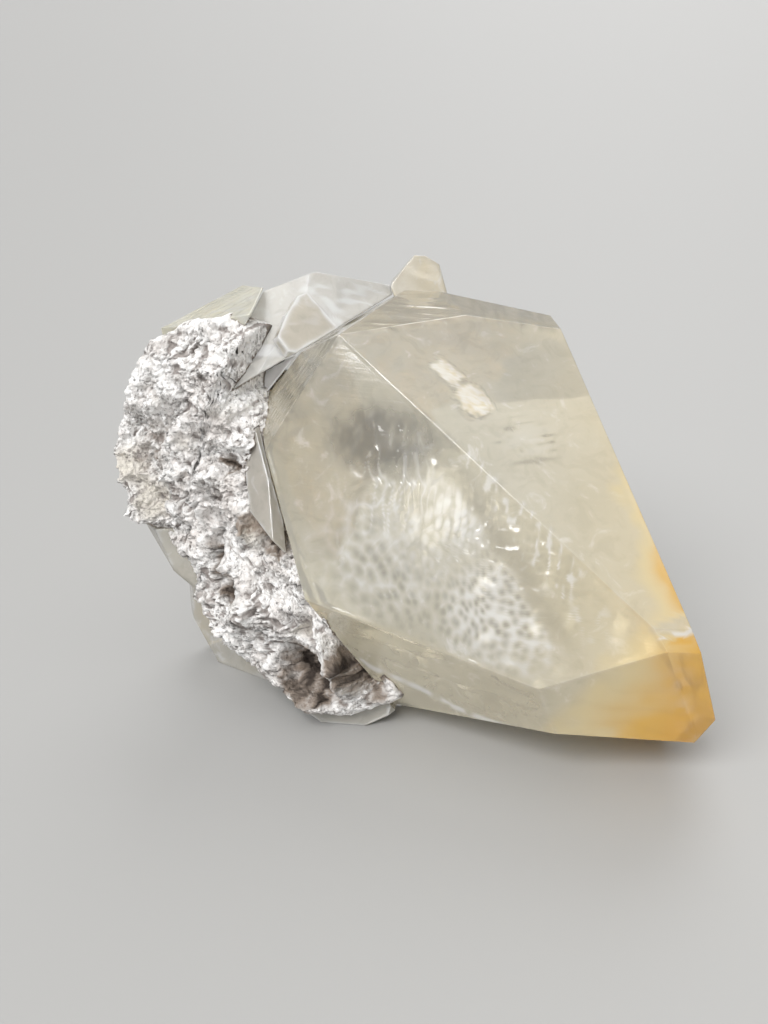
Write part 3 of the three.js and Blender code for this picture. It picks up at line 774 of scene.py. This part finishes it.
rock_sides = [rock_patch(True), rock_patch(False)]
rock, kept = piece_from("matrix_finished", [places for places, _ in rock_sides], True)
paint(rock, *np.vstack([amounts.reshape(-1, 3) for _, amounts in rock_sides])[kept].T)
cutters = [cutter_of(node) for node in sorted(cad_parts) if node != "matrix"]
for cutter in cutters:
    cut = rock.modifiers.new("cut", "BOOLEAN")
    cut.solver = "MANIFOLD"
    cut.operation = "DIFFERENCE"
    cut.object = cutter
cut_rock = bpy.data.meshes.new_from_object(rock.evaluated_get(bpy.context.evaluated_depsgraph_get()))
rock.modifiers.clear()
cut_rock.materials.clear()
drop_loose_bits(cut_rock)
rock.data = cut_rock
for cutter in cutters:
    bpy.data.objects.remove(cutter)
rock_stuff = bpy.data.materials.new("matrix_rock")
rock_stuff.use_nodes = True
tree = rock_stuff.node_tree
shader = tree.nodes["Principled BSDF"]
place = shader_node(tree, "TexCoord")["Object"]
body = shader_node(tree, "Attribute", {"attribute_name": "body"})
crevice_shade, brown_and_shade, smooth = shader_node(tree, "SeparateColor", Color=body["Color"]).values()
grain = shader_node(tree, "TexVoronoi", Vector=place, Scale=950.0)
speck = shader_node(tree, "TexNoise", Vector=place, Scale=1300.0, Detail=4.0, Roughness=0.7)["Fac"]
field = shader_node(tree, "TexNoise", Vector=place, Scale=230.0, Detail=3.0)["Fac"]
cloud = shader_node(tree, "TexNoise", Vector=place, Scale=170.0, Detail=5.0, Roughness=0.65)["Fac"]
colour = tinted(tree, ramp(tree, cloud, 0.42, 0.70), (0.96, 0.95, 0.935), (0.76, 0.72, 0.69))
colour = tinted(tree, ramp(tree, smooth, 0.1, 0.8), colour, (0.66, 0.62, 0.55))
colour = tinted(tree, ramp(tree, grain["Distance"], 0.35, 0.8, 0.0, 0.35), colour, (0.50, 0.46, 0.43))
# Painted shade: darker where the crevice shade amount is high, in the low places between the facets.
colour = tinted(tree, ramp(tree, crevice_shade, 0.08, 0.8), colour, (0.35, 0.315, 0.295))
speckled = shader_node(tree, "Math", {"operation": "MULTIPLY_ADD"}, _0=field, _1=0.45, _2=speck)["Value"]
colour = tinted(tree, ramp(tree, speckled, 0.74, 0.90, 0.0, 0.8), colour, (0.22, 0.195, 0.18))
colour = tinted(tree, ramp(tree, brown_and_shade, 0.1, 0.7, 0.0, 0.9), colour, (0.20, 0.15, 0.11))
# Painted shade over the stain: nearly black where the brown amount is high, in the cavities, the cleft and the pit.
colour = tinted(tree, ramp(tree, brown_and_shade, 0.6, 1.0), colour, (0.045, 0.032, 0.024))
tree.links.new(colour, shader.inputs["Base Color"])
normal = shader_node(tree, "Bump", Strength=0.7, Distance=0.0006, Height=grain["Distance"])["Normal"]
normal = shader_node(tree, "Bump", Strength=0.8, Distance=0.0007, Height=speck, Normal=normal)["Normal"]
tree.links.new(normal, shader.inputs["Normal"])
tree.links.new(ramp(tree, smooth, 0.0, 1.0, 0.75, 0.4), shader.inputs["Roughness"])
rock.data.materials.append(rock_stuff)
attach(rock, "root")
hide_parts("matrix")

# ------------------------------------------------------------------ table, light and camera
# A plain pale studio table that runs out of sight on every side, under three soft lamps that
# hang in a dim room, so that the pale top fades gently to grey in the distance.
reach = 250 * np.linspace(0, 1, 17)[:, None] ** 6 / MM
turn = np.linspace(0, 2 * np.pi, 49)[None, :]
table = piece_from("table", [facing(np.stack([reach * np.cos(turn), reach * np.sin(turn), 0 * reach * turn], -1),
                                    [0, 0, 1])])
table_top = bpy.data.materials.new("table_top")
table_top.use_nodes = True
table_top.node_tree.nodes["Principled BSDF"].inputs["Base Color"].default_value = (0.345, 0.341, 0.333, 1)
table_top.node_tree.nodes["Principled BSDF"].inputs["Roughness"].default_value = 0.55
table.data.materials.append(table_top)

room = bpy.data.worlds.new("studio")
room.use_nodes = True
air = room.node_tree
rise = shader_node(air, "SeparateXYZ", Vector=shader_node(air, "TexCoord")["Generated"])["Z"]
dim = tinted(air, ramp(air, rise, 0.0, 0.4), (0.50, 0.50, 0.49), (0.34, 0.345, 0.35))
dim = tinted(air, ramp(air, rise, 0.6, 0.95), dim, (1.3, 1.3, 1.29))
air.links.new(dim, air.nodes["Background"].inputs["Color"])
bpy.context.scene.world = room
bpy.context.scene.view_settings.view_transform = "Standard"


def soft_lamp(name, towards, strength, spread):
    """A very large lamp far away in the direction given, as wide as the spread in degrees."""
    lamp = bpy.data.lights.new(name, "SUN")
    lamp.energy = strength
    lamp.angle = np.radians(spread)
    holder = bpy.data.objects.new(name, lamp)
    holder.rotation_euler = Vector(towards).to_track_quat("Z", "Y").to_euler()
    bpy.context.scene.collection.objects.link(holder)


soft_lamp("key", (-0.75, -0.95, 1.35), 2.75, 35)
soft_lamp("front", (0.25, -1.5, 0.45), 0.75, 40)
soft_lamp("rear", (0.3, 1.3, 1.2), 0.9, 40)

camera = bpy.data.objects.new("camera", bpy.data.cameras.new("camera"))
camera.data.sensor_fit = "HORIZONTAL"
camera.data.sensor_width = 36
camera.data.lens = 36 * 1100 / 768
camera.location = (-0.0025, -0.192, 0.1245)
camera.rotation_euler = (np.radians(65), 0, 0)
bpy.context.scene.collection.objects.link(camera)
bpy.context.scene.camera = camera
